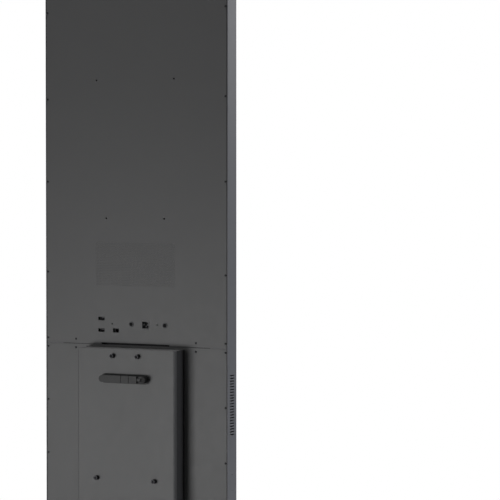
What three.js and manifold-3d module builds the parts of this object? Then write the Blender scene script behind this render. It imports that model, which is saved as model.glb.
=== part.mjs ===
// Floor-standing phone charging kiosk: a slim portrait display cabinet on a base plate, with a
// charging shelf in front and a stand box behind that hides the two steel uprights.
//
// Units are millimetres. +Z is up, the screen faces -Y and the rear covers face +Y. The origin is
// on the floor, in the middle of the base plate. Left and right are those of a user facing the
// screen, so the left side frame is at -X.

import * as THREE from 'three';
import { mergeVertices } from 'three/addons/utils/BufferGeometryUtils.js';
import Module from 'manifold-3d';

const wasm = await Module();
wasm.setup();

// ---------------------------------------------------------------- driving dimensions

const GAP = 0.3; // clearance between neighbouring pieces

// Cabinet
const WIDTH = 600;
const HEIGHT = 1800;
const REAR = -6; // rear face of the rear covers
const DEPTH = 48;
const FRONT = REAR - DEPTH;
const HALF = WIDTH / 2;
const FRAME_WALL = 2;
const SHEET = 1.5;
const SEAM = 772.6; // height of the joint between the two rear covers
const SEAM_GAP = 1;
const FLANGE = 55; // side frame flange behind the rear covers
const COVER_HALF = HALF - FRAME_WALL - 1.3;
const FLANGE_BACK = REAR - SHEET - GAP;
const FLANGE_FRONT = FLANGE_BACK - SHEET;
const FLANGE_EDGE = HALF - FRAME_WALL - FLANGE;

// Base
const FOOT_HEIGHT = 8;
const BASE_THICKNESS = 6;
const BASE_DEPTH = 420;
const BASE_CORNER = 40;
const BASE_TOP = FOOT_HEIGHT + BASE_THICKNESS;
const FLOOR_OF_CABINET = BASE_TOP + GAP;

// Display and front
const GLASS = 4;
const GLASS_BOTTOM = 812;
const GLASS_TOP = HEIGHT - 4;
const GLASS_HALF = HALF - 4;
const SCREEN_HALF = 267;
const SCREEN_HEIGHT = 946;
const SCREEN_Z = (GLASS_BOTTOM + GLASS_TOP) / 2;
const PANEL_TOP = 767.4; // top edge of the lower front panel

// Charging shelf
const SHELF_HALF = 222;
const SHELF_DEPTH = 112;
const SHELF_SHEET = 3;
const SHELF_TOP = 774;
const SHELF_LIP = 13;
const CHARGE_SOCKET_Z = 796;

// Side vents
const VENT_COUNT = 22;
const VENT_TOP = 697.7;
const VENT_BOTTOM = 534;
const VENT_HEIGHT = 3.5;
const VENT_LENGTH = 22.5;
const VENT_Y = REAR - 23;

// Stand box behind the lower half
const BOX_HALF = 159;
const BOX_DEPTH = 52;
const BOX_TOP = 766.3;
const BOX_REAR = REAR + BOX_DEPTH;
const COVER_FLANGE = 13;
const BOX_SHEET = 1.2;

// Rear controls: centres as [x, z]
const USB_AT = { upper: [111.8, 845.4], lower: [111.8, 812.7] };
const NETWORK_AT = [63.4, 813];
const RESET_AT = [76.1, 831.6];
const KEY_AT = [12.3, 832];
const INLET_AT = [-34.2, 830.5];
const LED_AT = [-72.9, 832.2];
const BUTTON_AT = [-97.7, 831.5];
const CONTROL_HOLE = 6.9; // cover hole radius for the key switch and the power button

// Fastener positions
const EDGE_SCREW_X = 292.5;
const UPPER_SCREW_Z = [1715, 1468, 1233, 975, 786.5];
const LOWER_SCREW_Z = [761.5, 609, 456, 305, 155, 40];
const SEAM_SCREW_X = 198;
const SEAM_SCREW_Z = [785.4, 761];
const SIDE_SCREW_Z = [423.5, 379.1];
const INSERT_AT = [[127.5, 1519.6], [95.5, 1129.8]];
const COVER_BOLT_AT = [[41, 745], [94.6, 400]];

// Lift-and-turn handle on the stand box
const HANDLE_Z = 682;
const HANDLE_HALF = 76;
const HANDLE_HEIGHT = 19.5;
const HANDLE_PROUD = 20;

// ---------------------------------------------------------------- materials

function material(color, roughness, metalness) {
  return new THREE.MeshStandardMaterial({ color, roughness, metalness });
}

const finish = {
  rearPaint: () => material('#4b4c4d', 0.55, 0.2),
  framePaint: () => material('#8e9096', 0.5, 0.3),
  blackPlastic: () => material('#17181a', 0.5, 0),
  blackSteel: () => material('#1b1b1d', 0.4, 0.8),
  handle: () => material('#3c3d3f', 0.45, 0.4),
  glass: () => material('#0b0c0e', 0.08, 0),
  screen: () => material('#101316', 0.3, 0),
  acrylic: () => material('#dfe4e6', 0.3, 0),
  zincSheet: () => material('#9ea2a4', 0.4, 0.8),
  steel: () => material('#8d9093', 0.35, 0.9),
  aluminium: () => material('#b4b7ba', 0.35, 0.9),
  rubber: () => material('#1c1c1d', 0.85, 0),
  board: () => material('#1d4a2f', 0.5, 0.1),
  basePaint: () => material('#303134', 0.55, 0.2),
  led: () => material('#3a6f3f', 0.3, 0),
};

// ---------------------------------------------------------------- solids

// Turns a closed three.js geometry into a manifold solid.
function solid(geometry) {
  geometry.deleteAttribute('normal');
  geometry.deleteAttribute('uv');
  const merged = mergeVertices(geometry, 1e-4);
  const index = merged.index.array;
  const faces = [];
  for (let i = 0; i < index.length; i += 3) {
    const [a, b, c] = [index[i], index[i + 1], index[i + 2]];
    if (a !== b && b !== c && c !== a) faces.push(a, b, c);
  }
  return new wasm.Manifold(new wasm.Mesh({
    numProp: 3,
    vertProperties: new Float32Array(merged.attributes.position.array),
    triVerts: new Uint32Array(faces),
  }));
}

function block([x0, x1], [y0, y1], [z0, z1]) {
  const box = new THREE.BoxGeometry(x1 - x0, y1 - y0, z1 - z0);
  return solid(box.translate((x0 + x1) / 2, (y0 + y1) / 2, (z0 + z1) / 2));
}

// A round bar along the named axis, from low to high, with its axis through the two other
// coordinates, given in X, Y, Z order.
function rod(axis, radius, [low, high], [u, v], sides = 12) {
  const bar = new THREE.CylinderGeometry(radius, radius, high - low, sides);
  const middle = (low + high) / 2;
  if (axis === 'x') return solid(bar.rotateZ(-Math.PI / 2).translate(middle, u, v));
  if (axis === 'y') return solid(bar.translate(u, middle, v));
  return solid(bar.rotateX(Math.PI / 2).translate(u, v, middle));
}

// An outline drawn in X and Y, extruded along +Z from 0 to depth, with its holes cut through.
function extrusion(shape, depth, curveSegments) {
  const prism = (path, length) => solid(new THREE.ExtrudeGeometry(
    new THREE.Shape(path.getPoints(curveSegments)), { depth: length, bevelEnabled: false }));
  const body = prism(shape, depth);
  if (shape.holes.length === 0) return body;
  return body.subtract(union(shape.holes.map((hole) => prism(hole, depth + 2).translate(0, 0, -1))));
}

// A plate whose outline is drawn in X and Z, from yLow to yHigh.
function plateY(shape, yLow, yHigh, curveSegments = 5) {
  return extrusion(shape, yHigh - yLow, curveSegments).rotate(90, 0, 0).translate(0, yHigh, 0);
}

// A plate whose outline is drawn in X and Y, from zLow to zHigh.
function plateZ(shape, zLow, zHigh, curveSegments = 5) {
  return extrusion(shape, zHigh - zLow, curveSegments).translate(0, 0, zLow);
}

// A bar whose section is drawn in Y and Z, from xLow to xHigh.
function barX(points, xLow, xHigh) {
  const shape = new THREE.Shape(points.map(([y, z]) => new THREE.Vector2(y, z)));
  const bar = new THREE.ExtrudeGeometry(shape, { depth: xHigh - xLow, bevelEnabled: false });
  return solid(bar.rotateX(Math.PI / 2).rotateZ(Math.PI / 2).translate(xLow, 0, 0));
}

// A turned piece about a line along Y through (x, z); the profile lists [radius, y].
function turnedY(profile, [x, z], sides = 16) {
  const points = profile.map(([r, y]) => new THREE.Vector2(r, y));
  return solid(new THREE.LatheGeometry(points, sides).translate(x, 0, z));
}

function rectangle(x0, x1, y0, y1) {
  return new THREE.Shape([
    new THREE.Vector2(x0, y0), new THREE.Vector2(x1, y0),
    new THREE.Vector2(x1, y1), new THREE.Vector2(x0, y1),
  ]);
}

function roundedRectangle(halfX, halfY, radius) {
  const shape = new THREE.Shape();
  shape.absarc(halfX - radius, halfY - radius, radius, 0, Math.PI / 2);
  shape.absarc(radius - halfX, halfY - radius, radius, Math.PI / 2, Math.PI);
  shape.absarc(radius - halfX, radius - halfY, radius, Math.PI, 1.5 * Math.PI);
  shape.absarc(halfX - radius, radius - halfY, radius, 1.5 * Math.PI, 2 * Math.PI);
  return shape;
}

function obround(x0, x1, z, radius) {
  const shape = new THREE.Shape();
  shape.absarc(x1 - radius, z, radius, -Math.PI / 2, Math.PI / 2);
  shape.absarc(x0 + radius, z, radius, Math.PI / 2, 1.5 * Math.PI);
  return shape;
}

function circle(x, y, radius) {
  const path = new THREE.Path();
  path.absarc(x, y, radius, 0, 2 * Math.PI);
  return path;
}

function centredRectangle(x, y, width, height) {
  return rectangle(x - width / 2, x + width / 2, y - height / 2, y + height / 2);
}

// [a, b] on the right-hand side, or its mirror image on the left, low end first.
function across(side, a, b) {
  return side > 0 ? [a, b] : [-b, -a];
}

function around(centre, width) {
  return [centre - width / 2, centre + width / 2];
}

function hexagonBar(axisX, axisZ, acrossFlats, yLow, yHigh) {
  return rod('y', acrossFlats / Math.sqrt(3), [yLow, yHigh], [axisX, axisZ], 6);
}

function union(solids) {
  return solids.reduce((sum, next) => sum.add(next));
}

function bothSides(points) {
  return points.flatMap(([x, z]) => [[x, z], [-x, z]]);
}

const kiosk = new THREE.Group();

function piece(name, shape, paint) {
  const { vertProperties, triVerts } = shape.getMesh();
  const geometry = new THREE.BufferGeometry();
  geometry.setAttribute('position', new THREE.BufferAttribute(vertProperties, 3));
  geometry.setIndex(new THREE.BufferAttribute(triVerts, 1));
  geometry.computeVertexNormals();
  const mesh = new THREE.Mesh(geometry, paint());
  mesh.name = name;
  kiosk.add(mesh);
}

// ---------------------------------------------------------------- cabinet frame

function edgeScrewPlaces() {
  const heights = [...UPPER_SCREW_Z, ...LOWER_SCREW_Z];
  return bothSides(heights.map((z) => [EDGE_SCREW_X, z]));
}

function seamScrewPlaces() {
  return bothSides(SEAM_SCREW_Z.map((z) => [SEAM_SCREW_X, z]));
}

const SCREW_HOLE = 1.9;
const FRAME_LIP = 15;
const END_PLATE = 2;
const END_FLANGE = 34;

// A folded channel: web, wide rear flange for the covers and a narrow lip behind the glass.
function sideFrame(side) {
  const web = block(across(side, HALF - FRAME_WALL, HALF), [FRONT, REAR], [FLOOR_OF_CABINET, HEIGHT]);
  const inner = [FLOOR_OF_CABINET + END_PLATE + 1, HEIGHT - END_PLATE - 1];
  const flange = block(across(side, FLANGE_EDGE, HALF - 1), [FLANGE_FRONT, FLANGE_BACK], inner);
  const lipFront = FRONT + GLASS + GAP;
  const lip = block(across(side, HALF - FRAME_LIP, HALF - 1), [lipFront, lipFront + SHEET], inner);
  const throughWeb = across(side, HALF - FRAME_WALL - 1, HALF + 1);
  const pitch = (VENT_TOP - VENT_BOTTOM) / (VENT_COUNT - 1);
  const cuts = [];
  for (let i = 0; i < VENT_COUNT; i += 1) {
    const height = around(VENT_BOTTOM + i * pitch, VENT_HEIGHT);
    cuts.push(block(throughWeb, around(VENT_Y, VENT_LENGTH), height));
  }
  for (const z of SIDE_SCREW_Z) {
    cuts.push(rod('x', SCREW_HOLE, throughWeb, [VENT_Y, z], 8));
  }
  for (const [x, z] of edgeScrewPlaces()) {
    if (Math.sign(x) === side) {
      cuts.push(rod('y', SCREW_HOLE, [FLANGE_FRONT - 1, FLANGE_BACK + 1], [x, z], 8));
    }
  }
  return union([web, flange, lip]).subtract(union(cuts));
}

piece('side_frame_left', sideFrame(-1), finish.framePaint);
piece('side_frame_right', sideFrame(1), finish.framePaint);

function endFrame(zPlate, zFlange) {
  const plateHalf = HALF - FRAME_WALL - GAP;
  const plate = block([-plateHalf, plateHalf], [FRONT, REAR], zPlate);
  const flangeHalf = FLANGE_EDGE - GAP;
  const flange = block([-flangeHalf, flangeHalf], [FLANGE_FRONT, FLANGE_BACK], zFlange);
  return plate.add(flange);
}

piece('top_frame', endFrame([HEIGHT - END_PLATE, HEIGHT],
  [HEIGHT - END_PLATE - END_FLANGE, HEIGHT - 1]), finish.framePaint);
piece('bottom_frame', endFrame([FLOOR_OF_CABINET, FLOOR_OF_CABINET + END_PLATE],
  [FLOOR_OF_CABINET + 1, FLOOR_OF_CABINET + END_PLATE + END_FLANGE]), finish.framePaint);

const HAT_HALF = 20; // half the crossbar's height over its two flanges
const HAT_DEPTH = 17;
const HAT_HOLLOW = 8.5; // half the height of its hollow

// A hat channel behind the seam: its two flanges take the seam screws, and its hollow faces
// the seam and the cable notch.
function midCrossbar() {
  const half = FLANGE_EDGE - GAP;
  const web = FLANGE_BACK - HAT_DEPTH;
  const hatWall = HAT_HOLLOW + SHEET;
  const outline = [
    [FLANGE_BACK, SEAM - HAT_HALF], [FLANGE_BACK, SEAM - HAT_HOLLOW],
    [web + SHEET, SEAM - HAT_HOLLOW], [web + SHEET, SEAM + HAT_HOLLOW],
    [FLANGE_BACK, SEAM + HAT_HOLLOW], [FLANGE_BACK, SEAM + HAT_HALF],
    [FLANGE_FRONT, SEAM + HAT_HALF], [FLANGE_FRONT, SEAM + hatWall],
    [web, SEAM + hatWall], [web, SEAM - hatWall],
    [FLANGE_FRONT, SEAM - hatWall], [FLANGE_FRONT, SEAM - HAT_HALF],
  ];
  const holes = seamScrewPlaces().map(([x, z]) => (
    rod('y', SCREW_HOLE, [FLANGE_FRONT - 1, FLANGE_BACK + 1], [x, z], 8)));
  return barX(outline, -half, half).subtract(union(holes));
}

piece('mid_crossbar', midCrossbar(), finish.blackSteel);

// ---------------------------------------------------------------- rear covers

const NOTCH_HALF = 112;
const NOTCH_HEIGHT = 4.5;
const USB_WINDOW = [21, 10];
const NETWORK_WINDOW = [20, 12];
const INLET_WINDOW = [24.8, 23.2];
const LED_HOLE = 2.4;
const RESET_HOLE = 2.3;
const INSERT_BORE = 2.6;
const INSERT_DEPTH = 12;

// The upper cover carries four rivet nuts, pressed in from behind for a wall or accessory bracket.
function rearCoverUpper() {
  const bottom = SEAM + SEAM_GAP / 2;
  const top = HEIGHT - END_PLATE - 0.6;
  const notchTop = bottom + NOTCH_HEIGHT;
  const outline = new THREE.Shape([
    [-COVER_HALF, bottom], [-NOTCH_HALF, bottom], [-NOTCH_HALF, notchTop],
    [NOTCH_HALF, notchTop], [NOTCH_HALF, bottom], [COVER_HALF, bottom],
    [COVER_HALF, top], [-COVER_HALF, top],
  ].map(([x, z]) => new THREE.Vector2(x, z)));
  for (const [x, z] of [...edgeScrewPlaces(), ...seamScrewPlaces()]) {
    if (z > SEAM) outline.holes.push(circle(x, z, SCREW_HOLE));
  }
  for (const [x, z] of bothSides(INSERT_AT)) outline.holes.push(circle(x, z, INSERT_BORE));
  for (const [x, z] of Object.values(USB_AT)) outline.holes.push(centredRectangle(x, z, ...USB_WINDOW));
  outline.holes.push(
    centredRectangle(...NETWORK_AT, ...NETWORK_WINDOW),
    centredRectangle(...INLET_AT, ...INLET_WINDOW),
    circle(...KEY_AT, CONTROL_HOLE),
    circle(...BUTTON_AT, CONTROL_HOLE),
    circle(...LED_AT, LED_HOLE),
    circle(...RESET_AT, RESET_HOLE),
  );
  const collar = [
    [INSERT_BORE, REAR - INSERT_DEPTH], [INSERT_BORE + 2, REAR - INSERT_DEPTH],
    [INSERT_BORE + 2, REAR - SHEET / 2], [INSERT_BORE, REAR - SHEET / 2],
    [INSERT_BORE, REAR - INSERT_DEPTH],
  ];
  const rivetNuts = bothSides(INSERT_AT).map((at) => turnedY(collar, at, 10));
  return plateY(outline, REAR - SHEET, REAR).add(union(rivetNuts));
}

function rearCoverLower() {
  const bottom = FLOOR_OF_CABINET + END_PLATE + GAP;
  const outline = rectangle(-COVER_HALF, COVER_HALF, bottom, SEAM - SEAM_GAP / 2);
  for (const [x, z] of [...edgeScrewPlaces(), ...seamScrewPlaces()]) {
    if (z < SEAM) outline.holes.push(circle(x, z, SCREW_HOLE));
  }
  return plateY(outline, REAR - SHEET, REAR);
}

piece('rear_cover_upper', rearCoverUpper(), finish.rearPaint);
piece('rear_cover_lower', rearCoverLower(), finish.rearPaint);

// ---------------------------------------------------------------- display

const GLASS_REAR = FRONT + GLASS;
const LAYER_GAP = 0.4;
const CELL = 2;
const CELL_REAR = GLASS_REAR + LAYER_GAP + CELL;
const GUIDE = 4;
const GUIDE_REAR = CELL_REAR + LAYER_GAP + GUIDE;
const TRAY_SHEET = 1.2;
const TRAY_REAR = GUIDE_REAR + LAYER_GAP + TRAY_SHEET;
const TRAY_HALF = HALF - FRAME_WALL - 0.5; // reaches both side frames, which carry the screen

const screenTall = [SCREEN_Z - SCREEN_HEIGHT / 2, SCREEN_Z + SCREEN_HEIGHT / 2];
piece('front_glass', block([-GLASS_HALF, GLASS_HALF], [FRONT, GLASS_REAR],
  [GLASS_BOTTOM, GLASS_TOP]), finish.glass);
piece('lcd_panel', block([-SCREEN_HALF, SCREEN_HALF], [CELL_REAR - CELL, CELL_REAR],
  screenTall), finish.screen);
piece('light_guide_plate', block([-SCREEN_HALF, SCREEN_HALF], [GUIDE_REAR - GUIDE, GUIDE_REAR],
  screenTall), finish.acrylic);
piece('backlight_tray', block([-TRAY_HALF, TRAY_HALF], [TRAY_REAR - TRAY_SHEET, TRAY_REAR],
  [screenTall[0] - 5, screenTall[1] + 5]), finish.zincSheet);

// ---------------------------------------------------------------- charging front

const CHARGE_SOCKETS = 6;
const CHARGE_PITCH = 66;
const SOCKET_STRIP_HALF = 182;
const SOCKET_STRIP_HEIGHT = 14;
const SOCKET_MOUTH = [13, 5.6];
const SOCKET_DEPTH = 16;

function chargingFascia() {
  const outline = rectangle(-GLASS_HALF, GLASS_HALF, PANEL_TOP + 0.6, GLASS_BOTTOM - 0.4);
  outline.holes.push(centredRectangle(0, CHARGE_SOCKET_Z, 2 * SOCKET_STRIP_HALF + 0.8,
    SOCKET_STRIP_HEIGHT + 0.8));
  return plateY(outline, FRONT, FRONT + 3);
}

piece('charging_fascia', chargingFascia(), finish.blackPlastic);

// The mouth of a USB-A socket and the contact tongue inside it. The mouth faces -Y at yMouth
// when facing is -1, and +Y when it is 1.
function usbMouth(x, z, yMouth, facing, depth) {
  const [width, height] = SOCKET_MOUTH;
  const between = (near, far) => {
    const ends = [yMouth - facing * near, yMouth - facing * far];
    return [Math.min(...ends), Math.max(...ends)];
  };
  return {
    mouth: block([x - width / 2, x + width / 2], between(-1, depth - 3),
      [z - height / 2, z + height / 2]),
    tongue: block([x - width / 2 + 1, x + width / 2 - 1], between(1.5, depth - 2),
      [z + 0.2, z + 2]),
  };
}

function chargeSocketStrip() {
  const z = CHARGE_SOCKET_Z;
  const bar = block([-SOCKET_STRIP_HALF, SOCKET_STRIP_HALF], [FRONT, FRONT + SOCKET_DEPTH],
    [z - SOCKET_STRIP_HEIGHT / 2, z + SOCKET_STRIP_HEIGHT / 2]);
  const mouths = [];
  for (let i = 0; i < CHARGE_SOCKETS; i += 1) {
    const x = (i - (CHARGE_SOCKETS - 1) / 2) * CHARGE_PITCH;
    mouths.push(usbMouth(x, z, FRONT, -1, SOCKET_DEPTH));
  }
  return bar.subtract(union(mouths.map(({ mouth }) => mouth)))
    .add(union(mouths.map(({ tongue }) => tongue)));
}

piece('charge_socket_strip', chargeSocketStrip(), finish.blackPlastic);

const BOARD = 1.7;

function chargerBoard() {
  const half = SOCKET_STRIP_HALF + 18;
  const front = FRONT + SOCKET_DEPTH + GAP;
  return block([-half, half], [front, front + BOARD], [CHARGE_SOCKET_Z - 20, CHARGE_SOCKET_Z + 12]);
}

piece('charger_board', chargerBoard(), finish.board);

const GUSSET_X = 150;
const GUSSET = 4;
const GUSSET_REACH = 92;
const GUSSET_DROP = 62;

// A folded tray with a low lip on three sides, carried by two welded gussets.
function chargingShelf() {
  const back = FRONT - GAP;
  const front = back - SHELF_DEPTH;
  const low = SHELF_TOP - SHELF_SHEET;
  const tray = block([-SHELF_HALF, SHELF_HALF], [front, back], [low, SHELF_TOP + SHELF_LIP]);
  const inside = SHELF_HALF - SHELF_SHEET;
  const hollow = block([-inside, inside], [front + SHELF_SHEET, back + 1],
    [SHELF_TOP, SHELF_TOP + SHELF_LIP + 1]);
  const gusset = [
    [back, low + 1], [back, low - GUSSET_DROP], [back - 10, low - GUSSET_DROP],
    [back - GUSSET_REACH, low - 8], [back - GUSSET_REACH, low + 1],
  ];
  const gussets = [-GUSSET_X, GUSSET_X].map((x) => barX(gusset, ...around(x, GUSSET)));
  return union([tray.subtract(hollow), ...gussets]);
}

piece('charging_shelf', chargingShelf(), finish.framePaint);

const MAT = 2;
const MAT_MARGIN = 6;
const MAT_WIDTH = 98;
const PAD_X = [54, 162];
const PAD_RADIUS = 32;
const SHELF_MIDDLE = FRONT - GAP - SHELF_DEPTH / 2;
const MAT_LOW = SHELF_TOP + GAP;

// Non-slip mat with a raised round rest over each wireless charging coil.
function shelfMat() {
  const half = SHELF_HALF - MAT_MARGIN;
  const mat = block([-half, half], around(SHELF_MIDDLE, MAT_WIDTH), [MAT_LOW, MAT_LOW + MAT]);
  const rests = PAD_X.flatMap((x) => [x, -x]).map((x) => (
    rod('z', PAD_RADIUS, [MAT_LOW + 1, MAT_LOW + MAT + 1.2], [x, SHELF_MIDDLE], 28)));
  return union([mat, ...rests]);
}

piece('shelf_mat', shelfMat(), finish.rubber);

const SPEAKER_X = 180;
const SPEAKER_Z = 655;
const GRILLE_SLOTS = 5;
const GRILLE_PITCH = 8;
const GRILLE_SLOT = [96, 3];

function frontLowerPanel() {
  const bottom = FLOOR_OF_CABINET + END_PLATE + GAP;
  const outline = rectangle(-GLASS_HALF, GLASS_HALF, bottom, PANEL_TOP);
  for (const x of [-SPEAKER_X, SPEAKER_X]) {
    for (let row = 0; row < GRILLE_SLOTS; row += 1) {
      const z = SPEAKER_Z + (row - (GRILLE_SLOTS - 1) / 2) * GRILLE_PITCH;
      outline.holes.push(centredRectangle(x, z, ...GRILLE_SLOT));
    }
  }
  return plateY(outline, FRONT, FRONT + SHEET);
}

piece('front_lower_panel', frontLowerPanel(), finish.framePaint);

const SPEAKER = { width: 124, depth: 20, height: 48 };
const CONE = { half: 54, radius: 18, depth: 6, dome: 9 };

// A speaker is an open-fronted box with a shallow dished cone.
function speaker(x) {
  const front = FRONT + SHEET + GAP;
  const floor = front + CONE.depth;
  const body = block(around(x, SPEAKER.width), [front, front + SPEAKER.depth],
    around(SPEAKER_Z, SPEAKER.height));
  const dish = plateY(obround(x - CONE.half, x + CONE.half, SPEAKER_Z, CONE.radius), front - 1, floor);
  const dome = rod('y', CONE.dome, [floor - 3, floor + 1], [x, SPEAKER_Z], 14);
  return body.subtract(dish).add(dome);
}

piece('speaker_left', speaker(-SPEAKER_X), finish.blackPlastic);
piece('speaker_right', speaker(SPEAKER_X), finish.blackPlastic);

// ---------------------------------------------------------------- power supply and fans

const SUPPLY = { x: -15, width: 110, front: -46, depth: 32, z: 570, height: 200, sheet: 1.2 };

// An open-backed sheet case that holds the mains power supply.
function powerSupplyCase() {
  const { x, width, front, depth, z, height, sheet } = SUPPLY;
  const outer = block(around(x, width), [front, front + depth], around(z, height));
  const inner = block(around(x, width - 2 * sheet), [front + sheet, front + depth + 1],
    around(z, height - 2 * sheet));
  return outer.subtract(inner);
}

// The supply's board with its transformer, inductor and two smoothing capacitors.
function powerSupplyBoard() {
  const { x, width, front, depth, z, height } = SUPPLY;
  const low = front + 3.4;
  const seat = low + BOARD - 0.5;
  const rear = front + depth;
  const board = block(around(x, width - 8), [low, low + BOARD], around(z, height - 10));
  const transformer = block(around(x - 12.5, 45), [seat, rear - 4], around(z - 5, 50));
  const inductor = block(around(x + 32.5, 25), [seat, rear - 10], around(z + 50, 40));
  const capacitors = [-33, -7].map((dx) => rod('y', 9, [seat, rear - 3], [x + dx, z + 55], 12));
  return union([board, transformer, inductor, ...capacitors]);
}

piece('power_supply_case', powerSupplyCase(), finish.zincSheet);
piece('power_supply_board', powerSupplyBoard(), finish.board);

const FAN = 35;
const FAN_Z = (VENT_TOP + VENT_BOTTOM) / 2;
const FAN_OUT = HALF - 4;
const FAN_THICK = 10;
const FAN_BORE = 16.2;
const FAN_HUB = 8;
const FAN_BLADES = 7;
const BLADE = { thick: 0.9, reach: 8.6, chord: 7.6, pitch: 0.75 };
const SPOKE = 2.4;

// A square frame with a round bore, whose two crossed spokes carry the motor.
function fanFrame(side) {
  const inner = FAN_OUT - FAN_THICK;
  const square = [around(VENT_Y, FAN), around(FAN_Z, FAN)];
  const body = block(across(side, inner, FAN_OUT), ...square);
  const bore = rod('x', FAN_BORE, across(side, inner - 1, FAN_OUT + 1), [VENT_Y, FAN_Z], 24);
  const spider = across(side, inner, inner + 1.4);
  const motor = rod('x', FAN_HUB, spider, [VENT_Y, FAN_Z], 16);
  const upright = block(spider, around(VENT_Y, SPOKE), square[1]);
  const level = block(spider, square[0], around(FAN_Z, SPOKE));
  return union([body.subtract(bore), motor, upright, level]);
}

function fanRotor(side) {
  const span = across(side, FAN_OUT - FAN_THICK + 2, FAN_OUT - 0.8);
  const middle = (span[0] + span[1]) / 2;
  const hub = rod('x', FAN_HUB, span, [VENT_Y, FAN_Z], 16);
  const bladeMiddle = FAN_HUB + BLADE.reach / 2 - 1.1;
  const blades = [];
  for (let i = 0; i < FAN_BLADES; i += 1) {
    const blade = new THREE.BoxGeometry(BLADE.thick, BLADE.reach, BLADE.chord);
    blade.rotateY(side * BLADE.pitch).translate(0, bladeMiddle, 0);
    blade.rotateX((i * 2 * Math.PI) / FAN_BLADES).translate(middle, VENT_Y, FAN_Z);
    blades.push(solid(blade));
  }
  return union([hub, ...blades]);
}

for (const [name, side] of [['left', -1], ['right', 1]]) {
  piece(`fan_frame_${name}`, fanFrame(side), finish.blackPlastic);
  piece(`fan_rotor_${name}`, fanRotor(side), finish.blackPlastic);
}

// ---------------------------------------------------------------- rear electronics and controls

const BOARD_FACE = REAR - 22;
piece('media_board', block([30, 140], [BOARD_FACE - BOARD, BOARD_FACE], [798, 1000]), finish.board);

const HEAT_SINK = { x: 85, z: 950, size: 60, base: 3, height: 15, fins: 8, fin: 1.2 };

function heatSink() {
  const { x, z, size, base, height, fins, fin } = HEAT_SINK;
  const foot = BOARD_FACE + GAP;
  const plate = block(around(x, size), [foot, foot + base], around(z, size));
  const pitch = (size - fin - 1) / (fins - 1);
  const blades = [];
  for (let i = 0; i < fins; i += 1) {
    const finX = x + (i - (fins - 1) / 2) * pitch;
    blades.push(block(around(finX, fin), [foot + base - 1, foot + height], around(z, size)));
  }
  return union([plate, ...blades]);
}

piece('heat_sink', heatSink(), finish.aluminium);

const PORT_FACE = REAR - 6.5;
const PORT_DEPTH = PORT_FACE - BOARD_FACE - GAP;
const USB_SHELL = [16, 8.4];
const NETWORK_SHELL = [17, 15];
const JACK = 12;
const JACK_LATCH = 6;

for (const [name, [x, z]] of Object.entries(USB_AT)) {
  const shell = block(around(x, USB_SHELL[0]), [PORT_FACE - PORT_DEPTH, PORT_FACE],
    around(z, USB_SHELL[1]));
  const { mouth, tongue } = usbMouth(x, z, PORT_FACE, 1, PORT_DEPTH);
  piece(`usb_socket_${name}`, shell.subtract(mouth).add(tongue), finish.steel);
}

// The plug's opening, and below it the narrower way for the plug's latch.
function networkSocket() {
  const [x, z] = NETWORK_AT;
  const inside = [BOARD_FACE + 4, PORT_FACE + 1];
  const shell = block(around(x, NETWORK_SHELL[0]), [BOARD_FACE + GAP, PORT_FACE],
    around(z, NETWORK_SHELL[1]));
  const jack = block(around(x, JACK), inside, [z - 3.6, z + 4]);
  const latchWay = block(around(x, JACK_LATCH), inside, [z - 6, z - 3]);
  return shell.subtract(jack).subtract(latchWay);
}

piece('network_socket', networkSocket(), finish.steel);

// A recessed button that sits clear behind its hole in the cover.
piece('reset_button', rod('y', 1.7, [-19, REAR - 2.2], RESET_AT, 10), finish.blackPlastic);

// A flanged sleeve through the cover; the moving core turns or slides inside it.
const SLEEVE_FLANGE = 8;
const SLEEVE_OUTER = 6.5;
const SLEEVE_BORE = 5.5;
const SLEEVE_PROUD = 2;
const SLEEVE_DEPTH = 18;

function controlSleeve(at) {
  const seat = REAR + GAP;
  const face = REAR + SLEEVE_PROUD;
  const profile = [
    [SLEEVE_BORE, seat - SLEEVE_DEPTH], [SLEEVE_OUTER, seat - SLEEVE_DEPTH],
    [SLEEVE_OUTER, seat], [SLEEVE_FLANGE, seat], [SLEEVE_FLANGE - 0.6, face],
    [SLEEVE_BORE, face], [SLEEVE_BORE, seat - SLEEVE_DEPTH],
  ];
  return turnedY(profile, at, 20);
}

const CORE = SLEEVE_BORE - 0.3;
const KEYWAY = [1.6, 6.8];
const KEY_TAIL = 5;

// The turning core of the key switch, with its keyway and the tail that works the contacts.
function keyCylinder() {
  const [x, z] = KEY_AT;
  const end = REAR - SLEEVE_DEPTH;
  const barrel = rod('y', CORE, [end - 2, REAR + SLEEVE_PROUD - 0.6], KEY_AT, 20);
  const keyway = block(around(x, KEYWAY[0]), [REAR - 7, REAR + 5], around(z, KEYWAY[1]));
  const tail = block(around(x, KEY_TAIL), [end - 4, end - 1], [z - 3, z + 9]);
  return barrel.subtract(keyway).add(tail);
}

// A plunger with a chamfered rim and a shallow dish in its face.
function powerButtonCap() {
  const top = REAR + SLEEVE_PROUD + 0.8;
  const bottom = REAR - SLEEVE_DEPTH + 2;
  const profile = [
    [0, bottom], [CORE, bottom], [CORE, top - 0.8], [CORE - 0.8, top],
    [CORE / 2, top], [CORE / 2 - 0.4, top - 0.5], [0, top - 0.6],
  ];
  return turnedY(profile, BUTTON_AT, 20);
}

piece('key_switch_body', controlSleeve(KEY_AT), finish.handle);
piece('key_cylinder', keyCylinder(), finish.blackSteel);
piece('power_button_housing', controlSleeve(BUTTON_AT), finish.handle);
piece('power_button_cap', powerButtonCap(), finish.blackSteel);
piece('status_led', rod('y', 2, [-16, REAR - 0.2], LED_AT, 12), finish.led);

const INLET_SHELL = [24, 22.4];
const INLET_RECESS = [20.8, 18.8];
const INLET_DEPTH = 16;
const INLET_PIN = [2, 4.4];
const INLET_PIN_AT = [[-6.5, 1.2], [6.5, 1.2], [0, -4]];

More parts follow.
